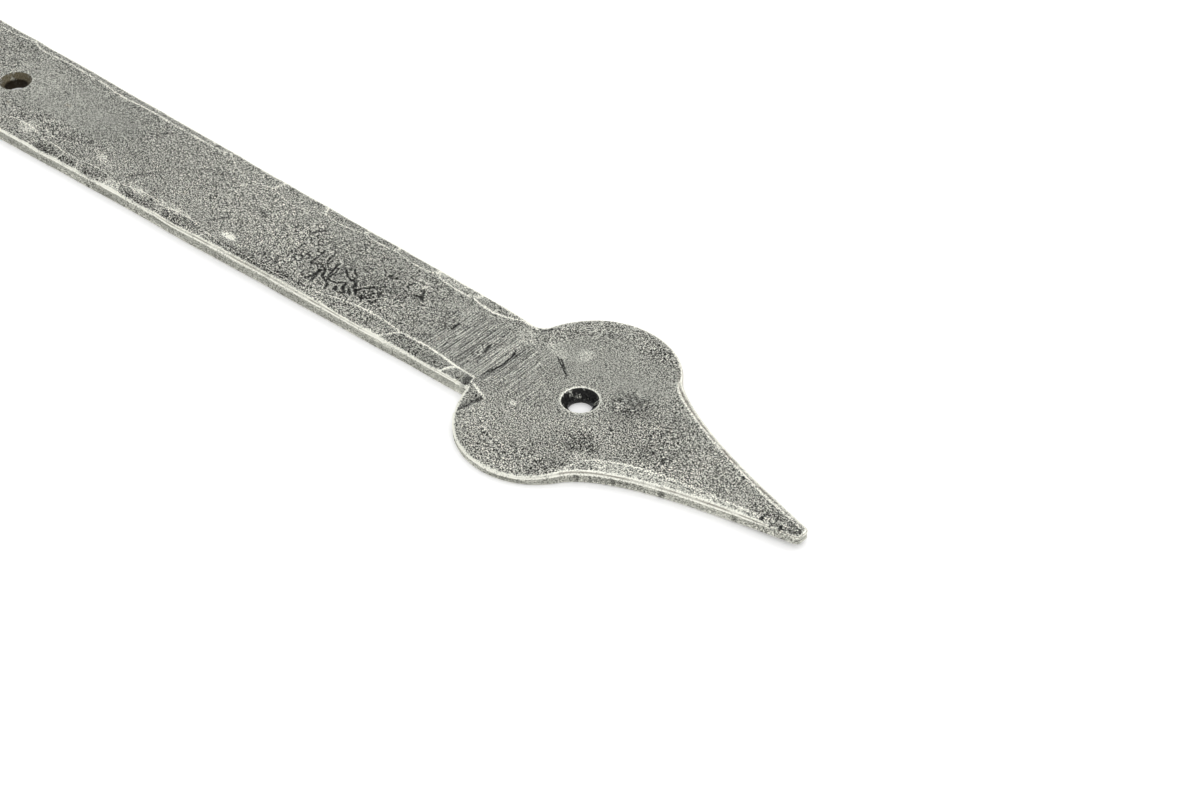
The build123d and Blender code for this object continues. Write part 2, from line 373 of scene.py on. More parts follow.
FAR_BLOWS = [
    (283, 8, 3, 0.5),
    (399, 9, 6.6, 0.5),
    (416, 9, 6.8, 0.5),
    (433, 9, 4.2, 0.45),
    (449, 8.5, 3.2, 0.4),
    (463, 10, 3.4, 0.45),
    (480, 10, 3.8, 0.5),
    (491, 7, 4.2, 0.5),
]
NEAR_TABLE = struck(11, 44, 318, 9, (2.6, 6.0), (0.5, 0.9)) + NEAR_BLOWS
FAR_TABLE = struck(12, 44, 276, 9, (2.8, 7.0), (0.4, 0.6)) + FAR_BLOWS
SIDE_CHIPS = ((552.4, 0.7), (572.4, 0.9), (592.0, 1.1))  # dark chips along the near side: place and reach
RIM_LINE = 1.15  # brown line inside the far edge of the spear
FACET_CORNER = (515.8, -15.7)  # facet where the near lobe leaves the neck: its innermost corner
FACET_SIDE = (-0.359, -0.933)  # direction in which it falls away to the rim
FACET_END = (0.947, -0.32)  # direction in which it ends

# Stretches along the band: start, full, waning and end, or start and full alone
COARSER = (180, 310)  # the speckle grows coarser
FAR_START = (284, 294)  # before it, the ridges along the far edge are thin
FAR_FLAT = (290, 300, 378, 390)  # one long flat along the far edge
FAR_THIN = (384, 392, 455, 470)  # thin ridges again
MEET_THIN = (300, 325)  # before it, the lines between two flats are thin
NEAR_THIN = (450, 470)  # before it, the ridges along the near edge are thin
NEAR_BROAD = (404, 425, 455, 480)  # broad chamfer along the near edge
NEAR_SOFT = (375, 400, 440, 490)  # the near edge is rounder
NEAR_LINE = (380, 400, 465, 485)  # brown line in the near edge
NECK_LINE = (494, 500)  # and again at the neck
GROUND = (478, 494, 514, 530)  # grinding marks on both sides of the weld
NECK_SHADE = (505.2, 507.2)  # shade where the strap's near flats end
NECK_END = (507.2, 509.4)  # the strap's flats end
NECK_SIDE = 508.2  # up to here, ridges are the strap's
LOBE_THIN = (509, 518, 541, 553)  # the near lobe is thinner towards its rim
RIM_LINE_START = (538, 548)  # brown line along the rim
RIM_ROUND = (538, 552, 590, 606)  # the near rim is rounder
RIM_BEVEL = (543, 553)  # the ridge of the rim's bevel shows
WAIST = (544, 556)  # the near bevel grows wide
WAIST_PALE = (548, 558)  # the bevel grows pale on both sides
WAIST_TICKS = (548, 552, 562, 570)  # upright strokes on the near side
FAR_WAIST = (546, 556)  # the far bevel grows narrow
FAR_SPEAR = (545, 552, 590, 602)  # brown line inside the far rim
SPEAR = (558, 600)  # the near bevel grows narrow again
TIP = (585, 606)  # the rim is sharper


def half_width(s):
    """Half the width of the band, which tapers to the weld."""
    taper = (np.clip(s, CRANK_END, TAPER_END) - CRANK_END) / (WELD_X - CRANK_END)
    return EYE_HALF - (EYE_HALF - NECK_HALF) * taper


def creased(x, y):
    """The weld's crease: deepest in the middle of the band."""
    depth = 0.35 + 0.65 * window(y, -7.5, -5, 2.5, 5)
    return depth * bell(to_line(x, y, CREASE), 0.32 + 0.12 * noise(x, y, 2.2, 15))


def scratched(x, y, share, most):
    """Scratches, each as strong as this share of its depth, up to a limit."""
    total = np.zeros(np.shape(x))
    for line, width, depth in SCRATCHES:
        total += min(most, share * depth) * bell(to_line(x, y, line), width)
    return total


def swells(x, y):
    """Uneven hammered surface, nowhere above the solid's."""
    height = -0.12
    for depth, size, seed in ((0.10, 34, 1), (0.06, 13, 2), (0.035, 5, 3), (0.02, 2.2, 4)):
        height = height + depth * noise(x, y, size, seed)
    return np.minimum(0, height)


def roughness(x, y):
    """How coarse the speckle is, about 0.4 to 1.6."""
    rough = 0.75 + 0.22 * noise(x, y, 27, 8) + 0.12 * noise(x, y, 9, 9) + in_spots(x, y, ROUGH)
    return np.clip(rough, 0.3, 1.8) * (0.52 + 0.48 * ease(*COARSER, x))


def stains(x, y, zones):
    """Blotches of dark scale on a back that nothing has rubbed."""
    blotch = noise(x, y, 31, 81) + noise(x, y, 11, 82) + noise(x, y, 4.5, 83)
    return (zones == BACK) * (0.06 * blotch - 0.03)


def crack_distance(x, y):
    """Distance to the edge of the nearest crack in the scale, in millimetres; below 0 inside it."""
    u, v = x + 0.22 * noise(x, y, 1.7, 5), y + 0.22 * noise(x, y, 1.7, 7)
    gap = np.full(np.shape(x), NO_CRACK)
    for line, half in CRACKS:
        ends = [p[0] for p in line]
        close = (x > min(ends) - NO_CRACK) & (x < max(ends) + NO_CRACK)
        gap[close] = np.minimum(gap[close], to_line(u[close], v[close], line) - CRACK_SHARE * half)
    return gap + 0.1 * noise(x, y, 1.1, 10)


def hammered_edges(s, y):
    """Lowering of the front along both edges, and fields that cross 0 where flats end and where two meet."""
    near, far = half_width(s) + y, half_width(s) - y
    chamfer = 1.0 + 0.3 * noise(s, 0 * s, 17, 6) + 1.2 * window(s, *NEAR_BROAD)
    near_low, near_end, near_meet = facets(s, near, chamfer, 0.5, NEAR_TABLE)
    long_flat = window(s, *FAR_FLAT)
    far_chamfer = 0.8 + (2.1 + 0.5 * noise(s, 0 * s, 13, 16)) * long_flat
    far_low, far_end, far_meet = facets(s, far, far_chamfer, 0.15, FAR_TABLE, 0.16)
    near_end = near_end * (1 + 1.3 * (1 - ease(*NEAR_THIN, s)))
    far_end = far_end * (1 + 0.9 * window(s, *FAR_THIN))
    far_end = far_end * (1 + 0.9 * (1 - ease(*FAR_START, s)))
    thinner = 1 + 0.9 * (1 - ease(*MEET_THIN, s))
    formed = ease(CRANK_END + 2, CRANK_END + 26, s)
    low = np.minimum(0, near_low) + np.minimum(0, far_low)
    ends = np.where(near < far, near_end, far_end) + 3 * (1 - formed)
    return formed * low, ends, thinner * np.where(near < far, near_meet, far_meet)


def surface(x, y):
    """Lowering of the front by the hammer, scratches, dents and cracks."""
    cracked = 1 - ease(-0.1, 0.25, crack_distance(x, y))
    marks = 0.3 * creased(x, y) + scratched(x, y, 1, 1) + in_spots(x, y, DENTS)
    return swells(x, y) - marks - 0.2 * cracked


def strap_front(s, y):
    """Height of the strap's front above its back."""
    ground = (s - (WELD_X - GRIND_LENGTH)) / GRIND_LENGTH * (STRAP_THICKNESS - SPADE_THICKNESS)
    height = STRAP_THICKNESS - np.clip(ground, 0, None)
    height = np.minimum(height, STRAP_THICKNESS + hammered_edges(s, y)[0])
    rolled = ease(FLAT_START - 2, CRANK_START, s)
    return height + rolled * surface(s, y) - 0.02 * (1 - rolled)


def bend(s, y, h):
    """Band coordinates to the row frame: the metal's middle runs through arcs and straight stretches."""
    t = CRANK_END - s
    x, z = CRANK_END - np.minimum(t, 0), np.full(len(s), STRAP_THICKNESS / 2)
    turn, start = 0 * s, 0.0
    for length, curve in STRETCHES:
        part = np.clip(t, 0, length)
        if curve:
            x = x + (math.sin(start) - np.sin(start + curve * part)) / curve
            z = z + (math.cos(start) - np.cos(start + curve * part)) / curve
        else:
            x, z = x - part * math.cos(start), z + part * math.sin(start)
        turn = turn + curve * part
        start += curve * length
        t = t - length
    lift = h - STRAP_THICKNESS / 2
    return np.stack([x + lift * np.sin(turn), y, z + lift * np.cos(turn)], 1)


# Outlines
def resample(points, step, closed=False):
    """Points this far apart along a chain of points."""
    points = np.asarray(points, float)
    if closed:
        points = np.vstack([points, points[:1]])
    lengths = np.r_[0, np.cumsum(np.hypot(*np.diff(points, axis=0).T))]
    count = max(2, int(round(lengths[-1] / step)) + 1)
    at = np.linspace(0, lengths[-1], count)
    made = np.stack([np.interp(at, lengths, points[:, k]) for k in (0, 1)], 1)
    return made[:-1] if closed else made


def outward(points, closed):
    """Outward normals of a chain that runs counterclockwise round the metal."""
    if closed:
        d = np.roll(points, -1, 0) - np.roll(points, 1, 0)
    else:
        d = np.gradient(points, axis=0)
    d /= np.hypot(*d.T)[:, None]
    return np.stack([d[:, 1], -d[:, 0]], 1)


def back_outline(node):
    """Outline of a CAD node's back, counterclockwise, in millimetres."""
    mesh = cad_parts[node].data
    places = [tuple(round(c / MM, 4) for c in v.co) for v in mesh.vertices]
    used = {}
    for face in mesh.polygons:
        if face.normal.z < -0.9:
            corners = [places[i] for i in face.vertices]
            for a, b in zip(corners, corners[1:] + corners[:1]):
                used[a[:2], b[:2]] = True
    rim = {a: b for a, b in used if (b, a) not in used}
    loops = []
    while rim:
        a, b = rim.popitem()
        loop = [a]
        while b in rim:
            loop.append(b)
            b = rim.pop(b)
        loops.append(np.array(loop))

    def area(p):
        return 0.5 * np.sum(p[:, 0] * np.roll(p[:, 1], -1) - p[:, 1] * np.roll(p[:, 0], -1))

    loop = max(loops, key=lambda p: abs(area(p)))
    return loop if area(loop) > 0 else loop[::-1]


def inside(points, loop):
    """Which points lie within a loop."""
    ax, ay = loop.T
    bx, by = np.roll(loop, -1, 0).T
    found = np.zeros(len(points), bool)
    for part in np.array_split(np.arange(len(points)), max(1, len(points) // 4000)):
        x, y = points[part, 0][:, None], points[part, 1][:, None]
        crosses = (ay > y) != (by > y)
        reach = ax + (y - ay) * (bx - ax) / np.where(by == ay, 1e-12, by - ay)
        found[part] = np.sum(crosses & (x < reach), 1) % 2 == 1
    return found


def nearest(points, loop):
    """Distance to the nearest point of a loop, and which one."""
    tree = kdtree.KDTree(len(loop))
    for i, (x, y) in enumerate(loop):
        tree.insert(Vector((x, y, 0)), i)
    tree.balance()
    hits = [tree.find(Vector((x, y, 0))) for x, y in points]
    return np.array([h[2] for h in hits]), np.array([h[1] for h in hits])


def scatter(low, high, step, seed):
    """Slightly shuffled points of a triangular pattern over a box."""
    rng = np.random.default_rng(seed)
    rows = np.arange(low[1], high[1], step * 0.866)
    made = []
    for k, y in enumerate(rows):
        xs = np.arange(low[0] + (k % 2) * step / 2, high[0], step)
        made.append(np.stack([xs, np.full(len(xs), y)], 1))
    made = np.vstack(made)
    return made + rng.uniform(-0.17, 0.17, made.shape) * step


def fill(loop, rings, extra):
    """Triangles over the region inside the loop and outside the rings, using the extra points too."""
    groups = [loop, *rings, extra]
    starts = np.cumsum([0] + [len(g) for g in groups]).tolist()
    edges = []
    for g, start in zip(groups[:-1], starts):
        n = len(g)
        edges += [(start + i, start + (i + 1) % n) for i in range(n)]
    flat = [Vector((x, y)) for g in groups for x, y in g]
    _, _, faces, origins, _, _ = delaunay_2d_cdt(flat, edges, [], 2, 1e-6)
    to_input = np.array([o[0] for o in origins])
    faces = to_input[np.array(faces)]
    middle = np.array([p[:2] for p in flat])[faces].mean(1)
    kept = inside(middle, loop)
    for ring in rings:
        kept &= ~inside(middle, ring)
    return starts, faces[kept].tolist()


def plate(edge, out, rounds, front, back, holes, fine, coarse):
    """A plate with rounded edges: flat vertices, faces, and the zone of each vertex.

    The upper edge is round, with a line of its own along its middle, and so is the foot of the side.
    Holes give a centre and rows of (radius, height, from the back).
    """
    n = len(edge)
    top_round, low_round = rounds
    verts, zones, faces = [], [], []

    def add(points, zone):
        start = sum(len(v) for v in verts)
        verts.append(points)
        zones.append(np.full(len(points), zone))
        return start

    def loop_at(inset, height):
        return np.column_stack([edge - inset[:, None] * out, height])

    def wall(rows, count, flip):
        for a, b in zip(rows, rows[1:]):
            for i in range(count):
                j = (i + 1) % count
                quad = (a + i, b + i, b + j, a + j)
                faces.append(quad[::-1] if flip else quad)

    front_loop = edge - top_round[:, None] * out
    back_loop = edge - low_round[:, None] * out
    rim_z = front(front_loop[:, 0], front_loop[:, 1])
    foot_z = back(back_loop[:, 0], back_loop[:, 1])
    turns = np.linspace(0, 2 * math.pi, RING_POINTS, endpoint=False)
    circle = np.stack([np.cos(turns), np.sin(turns)], 1)
    front_rings, back_rings = ([centre + rows[k][0] * circle for centre, rows in holes] for k in (0, -1))

    patches = []
    for loop, rings, extra, height in (
        (front_loop, front_rings, fine, front),
        (back_loop, back_rings, coarse, back),
    ):
        clear = np.ones(len(extra), bool)
        for (centre, _), ring in zip(holes, rings):
            clear &= np.hypot(*(extra - centre).T) > np.hypot(*(ring[0] - centre)) + 0.3
        extra = extra[clear]
        extra = extra[inside(extra, loop)]
        away, _ = nearest(extra, loop)
        extra = extra[away > 0.33]
        starts, triangles = fill(loop, rings, extra)
        flat = np.vstack([loop, *rings, extra])
        patches.append((starts, triangles, np.column_stack([flat, height(flat[:, 0], flat[:, 1])])))

    starts, triangles, points = patches[0]
    top = add(points, FRONT)
    rounded = top_round > 0.1
    zones[0][:n] = np.where(rounded, EDGE, FRONT)
    faces += [tuple(top + i for i in t) for t in triangles]
    rows = [top]
    for turn, zone in ((22, EDGE), (45, EDGE_LINE), (68, EDGE), (90, EDGE)):
        a = math.radians(turn)
        height = rim_z - top_round * (1 - math.cos(a))
        rows.append(add(loop_at(top_round * (1 - math.sin(a)), height), zone))
        zones[-1] = np.where(rounded, zone, FRONT)
    upper, lower = rim_z - top_round, foot_z + low_round
    for k in range(1, 7):
        t = k / 7
        swell = side_streaks(edge, t) * rounded
        rows.append(add(loop_at(-swell, upper + (lower - upper) * t), SIDE))
    for turn in (0, 30, 60):
        a = math.radians(turn)
        height = foot_z + low_round * (1 - math.sin(a))
        rows.append(add(loop_at(low_round * (1 - math.cos(a)), height), FOOT))
    back_starts, triangles, points = patches[1]
    bottom = add(points, BACK)
    faces += [tuple(bottom + i for i in t[::-1]) for t in triangles]
    rows.append(bottom)
    wall(rows, n, False)

    for k, (centre, profile) in enumerate(holes):
        upper, lower = starts[1 + k], back_starts[1 + k]
        ring_z = patches[0][2][upper : upper + RING_POINTS, 2]
        foot = patches[1][2][lower : lower + RING_POINTS, 2]
        rows = [top + upper]
        for radius, height, from_back in profile[1:-1]:
            level = foot + height if from_back else ring_z - height
            rows.append(add(np.column_stack([centre + radius * circle, level]), HOLE))
        rows.append(bottom + lower)
        wall(rows, RING_POINTS, True)
    return np.vstack(verts), faces, np.concatenate(zones)


def screw_hole(x, y):
    """Countersunk hole: its centre and its rows, from the front to the back."""
    return (x, y), [
        (SINK_RADIUS + 0.3, 0, False),
        (SINK_RADIUS + 0.08, 0.07, False),
        (SINK_RADIUS - 0.1, 0.25, False),
        (4.4, 0.95, False),
        (3.8, 1.5, False),
        (HOLE_RADIUS + 0.05, 1.95, False),
        (HOLE_RADIUS, 2.2, False),
        (HOLE_RADIUS, 0.9, True),
        (HOLE_RADIUS + 0.02, 0.25, True),
        (HOLE_RADIUS + 0.2, 0, True),
    ]


# Meshes
def placed(name, data):
    """New object in the scene."""
    obj = bpy.data.objects.new(name, data)
    bpy.context.scene.collection.objects.link(obj)
    return obj


def piece(name, body, node, places, faces, masks):
    """Mesh object that stands for a CAD node, with its masks and the curvature of its surface."""
    mesh = bpy.data.meshes.new(name)
    mesh.from_pydata((places * MM).tolist(), [], faces)
    mesh.polygons.foreach_set("use_smooth", np.ones(len(mesh.polygons), bool))
    mesh.set_sharp_from_angle(angle=math.radians(50))
    mesh.update()
    count = len(mesh.vertices)
    normals = np.zeros(count * 3, np.float32)
    mesh.vertices.foreach_get("normal", normals)
    normals = normals.reshape(-1, 3)
    ends = np.zeros(len(mesh.edges) * 2, np.int32)
    mesh.edges.foreach_get("vertices", ends)
    a, b = ends.reshape(-1, 2).T
    step = places[b] - places[a]
    size = np.maximum(np.sum(step * step, 1), 0.02)
    total, links = np.zeros(count), np.zeros(count)
    for here, sign in ((a, 1), (b, -1)):
        np.add.at(total, here, -sign * np.sum(step * normals[here], 1) / size)
        np.add.at(links, here, 1)
    curve = 2 * total / np.maximum(links, 1)
    spread = curve.copy()
    np.add.at(spread, a, curve[b])
    np.add.at(spread, b, curve[a])
    curve = spread / (links + 1)
    blank = {key: np.full(count, value) for key, value in BLANK.items()}
    masks = {**blank, **masks, "wear_and_highlight": ease(0.12, 0.8, curve), "cavity": ease(0.12, 0.8, -curve)}
    for key, values in masks.items():
        layer = mesh.attributes.new(key, "FLOAT", "POINT")
        layer.data.foreach_set("value", np.asarray(values, np.float32))
    obj = placed(name, mesh)
    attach(obj, body)
    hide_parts(node)
    return obj


def side_streaks(edge, t):
    """Forged edge face: a long shallow step and uneven streaks."""
    along = edge[:, 0] + 0.7 * edge[:, 1]
    step = -0.16 * ease(0.3, 0.55, t + 0.12 * noise(along, 0 * along, 23, 21))
    return step + 0.05 * noise(along, np.full(len(along), t * 12), 6, 22) - 0.05


def along_lines(lines, step=0.28):
    """Extra points beside fine marks, so that the mesh can follow them."""
    made = []
    for line in lines:
        middle = resample(line, step)
        side_way = outward(middle, False)
        made += [middle + k * 0.24 * side_way for k in (-2, -1, 0, 1, 2)]
    return np.vstack(made)


def hole_masks(x, y, zones, centres, worn_ring):
    """How deep in a screw hole, and the worn ring round it."""
    r = np.min([np.hypot(x - cx, y - cy) for cx, cy in centres], 0)
    bore = (zones == HOLE) * (0.55 + 0.45 * (r < HOLE_RADIUS + 0.1))
    ring = np.isin(zones, (FRONT, HOLE)) * bell(r - SINK_RADIUS - 0.2, 0.3)
    edges = np.isin(zones, (EDGE, EDGE_LINE))
    return {"hole": bore * (r < SINK_RADIUS), "rim": np.maximum(edges, worn_ring * ring)}


def band_masks(x, y, zones, ends, meets):
    """Masks for the patina of the band; the two fields cross 0 at ridges."""
    front = np.isin(zones, (FRONT, EDGE, EDGE_LINE))
    grind = ease(*GROUND[:2], x + 3 * noise(x, y, 8, 13)) * (1 - ease(*GROUND[2:], x + 0.4 * y))
    grind = grind * (1 - ease(7, 13, np.abs(y + 1 + 2 * noise(x, y, 7, 14))))
    # the weld's crease darkened as a dark joint; the two shifted copies paint shade on the step beside it
    tint = -0.55 * creased(x, y) - 0.14 * creased(x - 0.9, y) - 0.07 * creased(x - 1.6, y)
    tint += in_spots(x, y, TINTS) - scratched(x, y, 2.6, 0.5)
    flake, pock = (np.clip(in_spots(x, y, spots), 0, 1) for spots in (FLAKES, POCKS))
    return {
        "pock": pock * front,
        "crack": np.where(front, crack_distance(x, y), NO_CRACK),
        "flake": flake * front,
        "bevel": np.where(front, ends, BLANK["bevel"]),
        "meet": np.where(front, meets, BLANK["meet"]),
        "rough": roughness(x, y),
        "grind": grind * front,
        "tint": tint * front + stains(x, y, zones),
        "flank": np.isin(zones, (SIDE, FOOT)) * 1.0,
        **hole_masks(x, y, zones, [(at, 0) for at in BAND_HOLES], np.where(x > WELD_X, 0.8, 0.1)),
    }


def across(x, start, end):
    """Points across the band, from one side to the other."""
    return np.stack([np.full(ACROSS_POINTS, x), np.linspace(start, end, ACROSS_POINTS)], 1)


# Strap
def strap_piece():
    run = np.concatenate([np.arange(BAND_START, FINE_START, 0.85), np.linspace(FINE_START, WELD_X, 392)])
    free = window(run, CRANK_END, CRANK_END + 20, WELD_X - 20, WELD_X - 4)
    near_wave = 0.22 * noise(run, 0 * run, 31, 31) + 0.1 * noise(run, 0 * run, 9, 32) - 0.12
    far_wave = 0.12 * noise(run, 0 * run, 27, 33) + 0.04 * noise(run, 0 * run, 8, 34) - 0.12
    near = np.stack([run, -half_width(run) - near_wave * free], 1)
    far = np.stack([run, half_width(run) + far_wave * free], 1)[::-1]
    weld = across(WELD_X, -NECK_HALF + 1, NECK_HALF - 1)
    end = across(BAND_START, EYE_HALF - 1, -EYE_HALF + 1)
    edge = np.vstack([near, weld, far, end])
    ways = ((near, (0.0, -1.0)), (weld, (1.0, 0.0)), (far, (0.0, 1.0)), (end, (-1.0, 0.0)))
    out = np.vstack([np.tile(way, (len(points), 1)) for points, way in ways])
    ex, ey = edge.T
    wide = 0.42 + 0.4 * window(ex, *NEAR_SOFT)
    soft = np.where(ey < 0, wide, 0.45) + 0.12 * noise(ex, ey, 14, 35)
    at_weld = out[:, 0] > 0.5
    top_round = np.where(at_weld, 0.02, soft)
    low_round = np.where(at_weld, 0.02, 0.5 * soft)
    dense = scatter((FINE_START, -22), (WELD_X, 22), 0.52, 42)
    in_patch = np.all((dense > PATCH_LOW) & (dense < PATCH_HIGH), 1)
    fine = np.vstack([
        scatter((BAND_START, -26), (FINE_START, 26), 0.92, 41),
        dense[~in_patch],
        scatter(PATCH_LOW, PATCH_HIGH, 0.3, 47),
        along_lines([line for line, _, _ in SCRATCHES if line[0][0] < WELD_X - 4]),
    ])
    coarse = np.vstack([
        scatter((BAND_START, -26), (50, 26), 0.95, 43),
        scatter((51, -26), (WELD_X, 26), 2.6, 44),
    ])

    def back(s, y):
        rough = 0.5 + 0.5 * noise(s, y, 7, 45) + 0.25 * noise(s, y, 2.6, 46)
        return 0.14 * np.clip(rough, 0, 2) * (1 - ease(20, 34, s))

    holes = [screw_hole(x, 0) for x in BAND_HOLES[:2]]
    rounds = top_round, low_round
    flat, faces, zones = plate(edge, out, rounds, strap_front, back, holes, fine, coarse)
    s, y = flat[:, 0], flat[:, 1]
    masks = band_masks(s, y, zones, *hammered_edges(s, y)[1:])
    masks["brown"] = masks["hole"]
    double = window(s, *NEAR_LINE) + ease(*NECK_LINE, s)
    masks["line"] = (zones == EDGE_LINE) * (y < 0) * np.clip(double + 0.5 * noise(s, y, 11, 36), 0, 1)
    return piece("strap_forged", "band", "strap", bend(*flat.T), faces, masks)


# Spade end
def spade_outline():
    """Free edge of the spade end, from the near side of the weld to the far one, and its normals."""
    loop = back_outline("spade_end")
    free = loop[loop[:, 0] > WELD_X + 0.01]
    order = np.argmax(np.hypot(*np.diff(np.vstack([free, free[:1]]), axis=0).T))
    free = np.roll(free, -order - 1, 0)
    if free[0, 1] > 0:
        free = free[::-1]
    free = resample(np.vstack([[(WELD_X, -NECK_HALF)], free, [(WELD_X, NECK_HALF)]]), 0.42)
    out_free = outward(free, False)
    out_free[0], out_free[-1] = (0, -1), (0, 1)
    return free, out_free


def facet(px, py):
    """Height over the facet at the near neck, and how far past its end."""
    u, v = px - FACET_CORNER[0], py - FACET_CORNER[1]
    past = u * FACET_END[0] + v * FACET_END[1]
    fall = -0.16 * (u * FACET_SIDE[0] + v * FACET_SIDE[1])
    return np.maximum(fall, 1.3 * (past - 0.45)), past


def spade_masks(px, py, zones, away, inner, far_side):
    """Masks for the patina of the spade end, by the distances to its rim and to the inside of its bevel."""
    _, ends, meets = hammered_edges(px, py)
    on_neck = px < NECK_SIDE
    ends = np.where(on_neck, ends, inner + 6 * (1 - ease(*RIM_BEVEL, px)))
    masks = band_masks(px, py, zones, ends, np.where(on_neck, meets, 1.0))
    on_front, near_side = zones == FRONT, masks["flank"] * (py < 0)
    tint = masks["tint"]
    hollow, past = facet(px, py)
    masks["bevel"] = np.minimum(masks["bevel"], np.where(on_front, 6 * hollow, 1.0))
    tint -= 0.3 * ease(-3.0, -0.3, past) * (hollow < -0.05) * (px > 508) * on_front
    tint -= 0.3 * ease(*NECK_SHADE, px) * (masks["bevel"] < -0.3) * (py < -11) * on_neck
    band = ease(0.4, -1.0, inner) * ease(*WAIST_PALE, px) * on_front
    tint += 0.15 * band
    masks["rough"] *= 1 - 0.5 * band
    far_spear = window(px, *FAR_SPEAR) * on_front * far_side
    drawn = far_spear * bell(away - RIM_LINE, 0.28)
    masks["line"] = np.maximum((zones == EDGE_LINE) * ease(*RIM_LINE_START, px), drawn)
    tint += 0.07 * far_spear * (1 - ease(RIM_LINE + 0.2, RIM_LINE + 0.9, away))
    masks["ticks"] = near_side * window(px, *WAIST_TICKS)
    for at, reach in SIDE_CHIPS:
        tint -= 0.25 * near_side * (1 - ease(0.4, 1, np.abs(px - at) / reach))
    # side faces made paler: painted light, as lit from the near side and the floor
    tint += 0.05 * masks["flank"]
    return masks


def spade_piece():
    free, out_free = spade_outline()
    weld = across(WELD_X, NECK_HALF - 1, -NECK_HALF + 1)
    edge = np.vstack([free, weld])
    out = np.vstack([out_free, np.tile((-1.0, 0.0), (len(weld), 1))])
    at_weld = np.arange(len(edge)) >= len(free)

    # Bevel along the rim: wide at the near waist and spear; the near lobe is forged thinner towards its rim
    x, y = free.T
    near = y < 0
    waist = ease(*WAIST, x) * (1 - 0.75 * ease(*SPEAR, x))
    width = np.where(near, 1.2 + 3.6 * waist, 2.6 - 0.9 * ease(*FAR_WAIST, x))
    drop = np.where(near, 0.3, 0.35) * ease(WELD_X, WELD_X + 8, x)
    thinned = np.where(near, 1.7 * window(x, *LOBE_THIN), 0)
    for values in (width, drop, thinned):
        for _ in range(6):
            values[1:-1] = (values[:-2] + 2 * values[1:-1] + values[2:]) / 4
    width += 0.2 * noise(x, y, 9, 51)
    thin_start = BAND_LENGTH - TIP_THIN_LENGTH

    def rim_field(px, py):
        """Lowering along the rim, and the nearest point of the outline with its distance."""
        away, which = nearest(np.stack([px, py], 1), free)
        rim = np.minimum(drop[which] * (away / width[which] - 1), facet(px, py)[0])
        neck = STRAP_THICKNESS - SPADE_THICKNESS + hammered_edges(px, py)[0]
        beyond_neck = 40 * ease(*NECK_END, px)
        return np.minimum(rim, neck + beyond_neck), which, away

    def front(px, py):
        field, which, away = rim_field(px, py)
        thinner = thinned[which] * np.clip(1 - away / 11, 0, 1) ** 2
        return SPADE_THICKNESS + np.minimum(0, field) - thinner + surface(px, py)

    def back(px, py):
        return TIP_LIFT * np.clip((px - thin_start) / TIP_THIN_LENGTH, 0, 1)

    ex, ey = edge.T
    soft = 0.5 + 0.12 * noise(ex, ey, 11, 52) - 0.12 * ease(*TIP, ex)
    soft += 0.32 * (ey < 0) * window(ex, *RIM_ROUND)
    top_round = np.where(at_weld, 0.02, soft)
    top_round[0], top_round[len(free) - 1] = 0.45, 0.45
    low_round = np.where(at_weld, 0.02, 0.8 * soft)
    fine = np.vstack([
        scatter((WELD_X, -42), (BAND_LENGTH, 42), 0.43, 53),
        along_lines([CREASE] + [line for line, _, _ in SCRATCHES if line[0][0] > WELD_X + 4]),
        along_lines([(free - RIM_LINE * out_free)[(x > FAR_SPEAR[0]) & ~near]]),
    ])
    coarse = scatter((WELD_X, -42), (BAND_LENGTH, 42), 1.8, 54)
    holes = [screw_hole(BAND_HOLES[2], 0)]
    rounds = top_round, low_round
    flat, faces, zones = plate(edge, out, rounds, front, back, holes, fine, coarse)
    px, py = flat[:, 0], flat[:, 1]
    _, which, away = rim_field(px, py)
    masks = spade_masks(px, py, zones, away, away - width[which], ~near[which])
    return piece("spade_forged", "band", "spade_end", flat, faces, masks)


